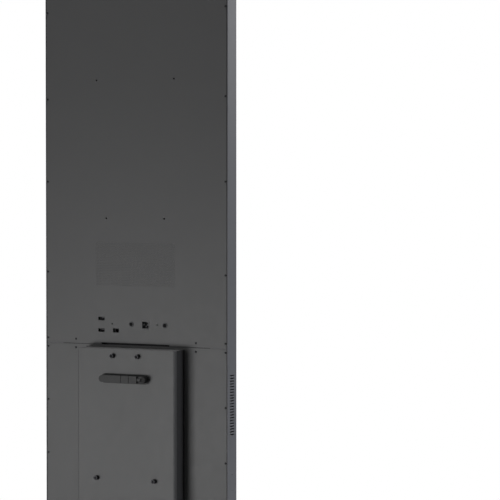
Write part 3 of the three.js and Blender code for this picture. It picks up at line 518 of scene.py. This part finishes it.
def dress_cad_nodes():
    """Gives each CAD node that stays its finished material and a softened edge."""
    for material, names in KEPT.items():
        for name in names:
            node = frame["nodes"][name]
            node.data.materials.clear()
            node.data.materials.append(material)
            weld = node.modifiers.new("weld", "WELD")
            weld.merge_threshold = 1e-5
            bevel = node.modifiers.new("soft edge", "BEVEL")
            bevel.width = 0.3 * MM
            bevel.segments = 2
            bevel.limit_method = "ANGLE"
            bevel.angle_limit = math.radians(40)


# ------------------------------------------------------------------ rear covers


def perforation():
    """Fine speaker and cooling holes low in the upper cover."""
    rows = range(round(FIELD_HEIGHT / HOLE_PITCH) + 1)
    columns = range(round(FIELD_WIDTH / HOLE_PITCH) + 1)
    return [ring_circle(((c - len(columns) // 2) * HOLE_PITCH, FIELD_BOTTOM + r * HOLE_PITCH), HOLE_RADIUS, 8)
            for r in rows for c in columns]


def rear_cover_upper():
    low = UPPER_LOW + Vector((COVER_INSET, 0, 0))
    high = UPPER_HIGH - Vector((COVER_INSET, 0, 0))
    top_of_notch = low.z + NOTCH_HEIGHT
    outline = [(low.x, low.z), (-NOTCH_HALF, low.z), (-NOTCH_HALF, top_of_notch),
               (NOTCH_HALF, top_of_notch), (NOTCH_HALF, low.z), (high.x, low.z),
               (high.x, high.z), (low.x, high.z)]
    holes = [ring_circle(at, SCREW_HOLE, 16) for at in REAR_SCREWS if at[1] > SEAM]
    holes += [ring_circle(at, INSERT_HOLE, 20) for at in both_sides(INSERTS)]
    for node, (width, height, radius) in PORT_WINDOWS.items():
        at = middle(node)
        holes.append(window((at.x, at.z), (width, height), radius))
    for node, radius in ROUND_HOLES.items():
        at = middle(node)
        holes.append(ring_circle((at.x, at.z), radius, 32))
    cover = sheet_metal("rear_cover_upper_sheet", "Y", outline, holes + perforation(),
                        REAR - SHEET, REAR, 0.25 * MM)
    nuts = [turned("nut", [(2.6 * MM, 0), (4.6 * MM, 0), (4.6 * MM, 10.3 * MM), (2.6 * MM, 10.3 * MM),
                           (2.6 * MM, 0)], (x, REAR - 12 * MM, z)) for x, z in both_sides(INSERTS)]
    cover = join("rear_cover_upper_sheet", [cover, *nuts])
    smooth(cover, 30)
    ride_as(cover, "root", "rear_paint", REAR_PAINT, "rear_cover_upper")


def rear_cover_lower():
    low = LOWER_LOW + Vector((COVER_INSET, 0, 0))
    high = LOWER_HIGH - Vector((COVER_INSET, 0, 0))
    outline = [(low.x, low.z), (high.x, low.z), (high.x, high.z), (low.x, high.z)]
    holes = [ring_circle(at, SCREW_HOLE, 16) for at in REAR_SCREWS if at[1] < SEAM]
    cover = sheet_metal("rear_cover_lower_sheet", "Y", outline, holes, low.y, high.y, 0.25 * MM)
    smooth(cover, 30)
    ride_as(cover, "root", "rear_paint", REAR_PAINT, "rear_cover_lower")


def edge_shade_strip(name, side):
    """A black strip in the joint between the covers and a side frame: painted shade for the deep gap there.
    """
    inner = FRAME_HIGH.x - 2 * MM
    cover_edge = UPPER_HIGH.x - COVER_INSET
    xs = sorted((side * (cover_edge + CLEARANCE), side * (inner - CLEARANCE)))
    strip = block(name, (xs[0], REAR - SHEET - 0.2 * MM, LOWER_LOW.z),
                  (xs[1], REAR - 0.7 * MM, UPPER_HIGH.z))
    round_edges(strip, 0.3 * MM, 2)
    ride_as(strip, "root", "rubber", RUBBER_AND_JOINT_SHADE)


def box_shade_strip(name, side):
    """A black strip in the joint between a stand box side and the rear covers: painted shadow for the dark
    contact corner there.
    """
    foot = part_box("stand_box_side_right")
    xs = sorted((side * (foot[1].x + 0.3 * MM), side * (foot[1].x + 4.5 * MM)))
    strip = block(name, (xs[0], REAR + CLEARANCE, foot[0].z), (xs[1], REAR + 1.6 * MM, PAN_HIGH.z))
    round_edges(strip, 0.5 * MM, 2)
    ride_as(strip, "root", "rubber", RUBBER_AND_JOINT_SHADE)


def pan_screw(name, at, length=7):
    """A low pan-head screw with a cross recess; its head sits proud of the rear covers."""
    x, z = at
    seat = REAR + CLEARANCE
    profile = [(0, -length), (1.5, -length), (1.5, 0), (3.1, 0), (3.1, 0.5), (2.7, 1.0), (1.9, 1.35),
               (0.9, 1.5), (0, 1.55)]
    screw = turned(name, [(r * MM, a * MM) for r, a in profile], (x, seat, z), "Y", 24)
    arms = [block("arm", (x - w, seat + 0.5 * MM, z - h), (x + w, seat + 3 * MM, z + h))
            for w, h in ((1.5 * MM, 0.32 * MM), (0.32 * MM, 1.5 * MM))]
    return combine(screw, arms)


def case_screws():
    for number, at in enumerate(REAR_SCREWS):
        screw = smooth(pan_screw(f"case_screw_{number:02d}", at))
        ride_as(screw, "root", "black_steel", BLACK_OXIDE_AND_NOTCH_SHADE)


# ------------------------------------------------------------------ side frames


def side_frame(name, side):
    """A folded channel with its row of vent slots and the two small side screws."""
    low, high = FRAME_LOW, FRAME_HIGH
    flange = [REAR - SHEET - 0.3 * MM - SHEET, REAR - SHEET - 0.3 * MM]
    lip = [low.y + 4.3 * MM, low.y + 5.8 * MM]
    inner = high.x - 2 * MM
    section = [
        (high.x, low.y), (high.x, high.y), (inner, high.y), (inner, flange[1]), (low.x, flange[1]),
        (low.x, flange[0]), (inner, flange[0]), (inner, lip[1]), (high.x - 15 * MM, lip[1]),
        (high.x - 15 * MM, lip[0]), (inner, lip[0]), (inner, low.y)]
    body = prism(name, "Z", [(side * x, y) for x, y in section], low.z, high.z)
    pitch = (VENT_TOP - VENT_LOW) / (VENT_COUNT - 1)
    ends = sorted((side * (inner - 2 * MM), side * (high.x + 2 * MM)))
    slots = [prism("slot", "X", window((VENT_Y, VENT_LOW + i * pitch), VENT_SIZE, 1.7 * MM), *ends)
             for i in range(VENT_COUNT)]
    slots += [prism("hole", "X", ring_circle((VENT_Y, z), 2.0 * MM, 20), *ends)
              for z in SIDE_SCREW_Z]
    slots += [prism("hole", "Y", ring_circle(at, SCREW_HOLE, 16), flange[0] - MM, flange[1] + 0.2 * MM)
              for at in REAR_SCREWS if at[0] * side > 0.25]
    combine(body, [join("cutters", slots)])
    round_edges(body, 0.55 * MM, 3, 40)
    ride_as(body, "root", "frame_paint", FRAME_PAINT, f"side_frame_{'right' if side > 0 else 'left'}")
    for number, z in enumerate(SIDE_SCREW_Z):
        profile = [(0, -6), (1.5, -6), (1.6, -1.6), (1.85, -0.5), (1.2, -0.5), (0.8, -1.1), (0, -1.1)]
        screw = turned(f"side_screw_{'right' if side > 0 else 'left'}_{number}",
                       [(r * MM, side * a * MM) for r, a in profile],
                       (side * high.x, VENT_Y, z), "X", 20)
        ride_as(smooth(screw), "root", "frame_paint", FRAME_PAINT)


# ------------------------------------------------------------------ stand box


def stand_box_cover():
    """A folded pan with bent edges, cut for the four bolts and the handle's spindle."""
    low, high = PAN_LOW, PAN_HIGH
    wall = 1.2 * MM
    pan = block("stand_box_cover_pan", low, high)
    bevel = pan.modifiers.new("bend", "BEVEL")
    bevel.width = 4 * MM
    bevel.segments = 6
    bevel.limit_method = "WEIGHT"
    weights = pan.data.attributes.new("bevel_weight_edge", "FLOAT", "EDGE")
    for edge in pan.data.edges:
        a, b = (pan.data.vertices[i].co for i in edge.vertices)
        at_rear = a.y > high.y - 1e-6 and b.y > high.y - 1e-6
        on_top = a.z > high.z - 1e-6 and b.z > high.z - 1e-6
        at_bottom = a.z < low.z + 1e-6 and b.z < low.z + 1e-6
        corner = abs(a.x - b.x) < 1e-9 and on_top and not at_rear
        if at_rear and on_top:
            weights.data[edge.index].value = 0.5
        elif (at_rear and not at_bottom) or corner:
            weights.data[edge.index].value = 1.0
    apply_modifiers(pan)
    hollow = block("hollow", (low.x + wall, low.y - MM, low.z - MM),
                   (high.x - wall, high.y - SHEET, high.z - wall))
    round_edges(hollow, 1.2 * MM, 3, 40)
    apply_modifiers(hollow)
    bolts = [middle(f"cover_bolt_{level}_{side}") for level in ("upper", "lower")
             for side in ("left", "right")]
    holes = [turned("hole", [(0, -4 * MM), (4.6 * MM, -4 * MM), (4.6 * MM, MM), (0, MM)],
                    (at.x, high.y, at.z), "Y", 28) for at in bolts]
    spindle_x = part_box("handle_escutcheon")[0].x + SPINDLE_FROM_END
    holes.append(turned("hole", [(0, -4 * MM), (6.5 * MM, -4 * MM), (6.5 * MM, MM), (0, MM)],
                        (spindle_x, high.y, middle("handle_escutcheon").z), "Y", 28))
    combine(pan, [hollow, *holes])
    smooth(pan, 30)
    ride_as(pan, "root", "rear_paint", REAR_PAINT, "stand_box_cover")


def stand_box_side(name, side):
    """A tall angle whose bend leaves a dark groove along the cabinet's back."""
    low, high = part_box("stand_box_side_right")
    wall, bend = 1.5 * MM, 3.5 * MM
    outer = [(high.x - bend * (1 - math.sin(t)), low.y + bend * (1 - math.cos(t)))
             for t in (math.radians(15 * i) for i in range(7))]
    inner = [(high.x - bend + (bend - wall) * math.sin(t), low.y + bend - (bend - wall) * math.cos(t))
             for t in (math.radians(90 - 22.5 * i) for i in range(5))]
    section = [(low.x, low.y), *outer, (high.x, high.y), (high.x - wall, high.y), *inner,
               (low.x, low.y + wall)]
    angle = prism(name + "_angle", "Z", [(side * x, y) for x, y in section], low.z, high.z)
    smooth(angle, 30)
    ride_as(angle, "root", "base_paint", BASE_PAINT, name)


def cap_screw(node):
    """A socket-head cap screw with a knurled rim."""
    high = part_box(node)[1]
    at = middle(node)
    seat = PAN_HIGH.y + CLEARANCE
    height = high.y - seat
    bm = bmesh.new()
    steps = 72
    rings = []
    profile = [(3.9, -13.5, 0), (4.0, 0, 0), (6.0, 0, 0), (6.45, 0.5, 1), (6.45, height / MM - 1.6, 1),
               (6.3, height / MM - 0.9, 0), (5.7, height / MM, 0)]
    for radius, along, knurl in profile:
        ring = []
        for i in range(steps):
            turn = 2 * math.pi * i / steps
            r = (radius - (0.16 if knurl and i % 2 else 0)) * MM
            ring.append(bm.verts.new((r * math.cos(turn), along * MM, r * math.sin(turn))))
        rings.append(ring)
    for a, b in zip(rings, rings[1:]):
        for i in range(steps):
            j = (i + 1) % steps
            bm.faces.new((a[i], a[j], b[j], b[i]))
    bm.faces.new(rings[0])
    bm.faces.new(rings[-1])
    bmesh.ops.translate(bm, vec=(at.x, seat, at.z), verts=bm.verts)
    screw = from_bmesh(node + "_detail", bm)
    socket = prism("socket", "Y", ring_circle((at.x, at.z), 3.46 * MM, 6),
                   seat + height - 5 * MM, seat + height + MM)
    combine(screw, [socket])
    smooth(screw, 25)
    ride_as(screw, "root", "black_steel", BLACK_OXIDE_AND_NOTCH_SHADE, node)


def base_bolts():
    """Four hexagon-head bolts that hold the uprights' flange to the base plate."""
    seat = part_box("base_flange")[1].z + CLEARANCE
    for number, (x, y) in enumerate((side * 134 * MM, y) for side in (-1, 1) for y in (6 * MM, 33 * MM)):
        washer = turned("washer", [(0, 0), (10 * MM, 0), (10 * MM, 1.6 * MM), (0, 1.6 * MM)],
                        (x, y, seat), "Z", 32)
        head = prism("head", "Z", ring_circle((x, y), 9 * MM, 6), seat + 1.6 * MM, seat + 8 * MM)
        shank = turned("shank", [(0, 0), (5 * MM, 0), (5 * MM, -16 * MM), (0, -16 * MM)],
                       (x, y, seat), "Z", 24)
        bolt = join(f"base_bolt_{number}", [washer, head, shank])
        round_edges(bolt, 0.5 * MM, 2)
        ride_as(bolt, "root", "steel", STEEL)


# ------------------------------------------------------------------ front details


def glass_border():
    """The black print behind the edge of the cover glass, open over the screen."""
    low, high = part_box("front_glass")
    screen_low, screen_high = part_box("lcd_panel")
    inset = 2.5 * MM
    outline = ring_rounded((low.x + MM, low.z + MM), (high.x - MM, high.z - MM), 3 * MM)
    opening = ring_rounded((screen_low.x + inset, screen_low.z + inset),
                           (screen_high.x - inset, screen_high.z - inset), 1.5 * MM)
    border = sheet_metal("glass_border_print", "Y", outline, [opening],
                         high.y + 0.05 * MM, high.y + 0.2 * MM, 0.03 * MM)
    ride_as(smooth(border), "root", "black_plastic", BLACK_PLASTIC)


# ------------------------------------------------------------------ stage, light and camera


def floor():
    """A pale disc that ends below the camera's view and throws no diffuse light on the kiosk."""
    bm = bmesh.new()
    bmesh.ops.create_circle(bm, cap_ends=True, segments=96, radius=FLOOR_RADIUS)
    stage = from_bmesh("studio_floor", bm)
    s = Shader("studio floor", 0.6)
    s.tint(s.noise(4, 4), (0.78, 0.78, 0.785), (0.82, 0.82, 0.825))
    s.bump(s.noise(300, 3), 0.0002, 0.2)
    s.set("Emission Color", (1, 1, 1, 1))
    s.set("Emission Strength", 0.3)
    stage.data.materials.append(s.material)
    stage.visible_diffuse = False


def softbox(name, place, target, size, power, colour=(1, 1, 1)):
    light = bpy.data.lights.new(name, "AREA")
    light.shape = "RECTANGLE"
    light.size, light.size_y = size
    light.energy = power
    light.color = colour
    obj = add_object(name, light)
    obj.location = place
    obj.rotation_euler = (Vector(target) - Vector(place)).to_track_quat("-Z", "Y").to_euler()
    obj.visible_camera = False


def lights():
    """Soft boxes: low and level from the left rear, along the right side, over the stand box, in front."""
    softbox("key_low_left", (0.95, 2.3, 0.15), (0, 0, 0.4), (1.2, 0.6), 34.5)
    softbox("key_left", (0.95, 2.4, 1.0), (0, 0, 0.8), (1.2, 0.5), 6.5)
    softbox("side_fill", (-2.8, -0.12, 0.75), (-0.3, -0.02, 0.75), (0.4, 1.8), 27, (0.95, 0.97, 1))
    softbox("box_top", (0, 0.2, 3.4), (0, 0.02, 0.8), (0.8, 0.25), 42)
    softbox("front_left", (-0.9, -3.9, 2.4), (0, 0, 0.8), (1.4, 1.4), 75)
    softbox("front_right", (2.6, -3.0, 2.6), (0, 0, 0.9), (1.4, 1.6), 60)
    softbox("top", (0, -0.6, 3.6), (0, 0, 0), (2.0, 1.2), 25)


def world():
    """White to the camera, dim to everything else."""
    made = bpy.data.worlds.new("studio")
    made.use_nodes = True
    nodes, links = made.node_tree.nodes, made.node_tree.links
    dim = nodes["Background"]
    dim.inputs["Color"].default_value = (0.9, 0.95, 1, 1)
    dim.inputs["Strength"].default_value = 0.03
    white = nodes.new("ShaderNodeBackground")
    white.inputs["Color"].default_value = (1, 1, 1, 1)
    mix = nodes.new("ShaderNodeMixShader")
    rays = nodes.new("ShaderNodeLightPath")
    links.new(rays.outputs["Is Camera Ray"], mix.inputs["Fac"])
    links.new(dim.outputs["Background"], mix.inputs[1])
    links.new(white.outputs["Background"], mix.inputs[2])
    links.new(mix.outputs["Shader"], nodes["World Output"].inputs["Surface"])
    bpy.context.scene.world = made


def camera():
    """The rear view of the photograph: 29 degrees off the rear face, level with the chest."""
    aside, pitch, lens = math.radians(29), math.radians(1.62), 175.6
    data = bpy.data.cameras.new("camera")
    data.lens = lens
    data.sensor_width = 36
    data.clip_end = 100
    obj = add_object("camera", data)
    obj.location = (-3.6044, REAR + 5.8359, 1.235)
    look = Vector((math.sin(aside) * math.cos(pitch), -math.cos(aside) * math.cos(pitch),
                   -math.sin(pitch)))
    obj.rotation_euler = look.to_track_quat("-Z", "Y").to_euler()
    bpy.context.scene.camera = obj


bpy.context.scene.view_settings.view_transform = "Standard"
camera()
world()
lights()
floor()
dress_cad_nodes()
rear_cover_upper()
rear_cover_lower()
case_screws()
edge_shade_strip("edge_gasket_left", -1)
edge_shade_strip("edge_gasket_right", 1)
box_shade_strip("box_seal_left", -1)
box_shade_strip("box_seal_right", 1)
side_frame("side_frame_left_channel", -1)
side_frame("side_frame_right_channel", 1)
stand_box_cover()
stand_box_side("stand_box_side_left", -1)
stand_box_side("stand_box_side_right", 1)
for bolt in ("upper_left", "upper_right", "lower_left", "lower_right"):
    cap_screw(f"cover_bolt_{bolt}")
base_bolts()
glass_border()
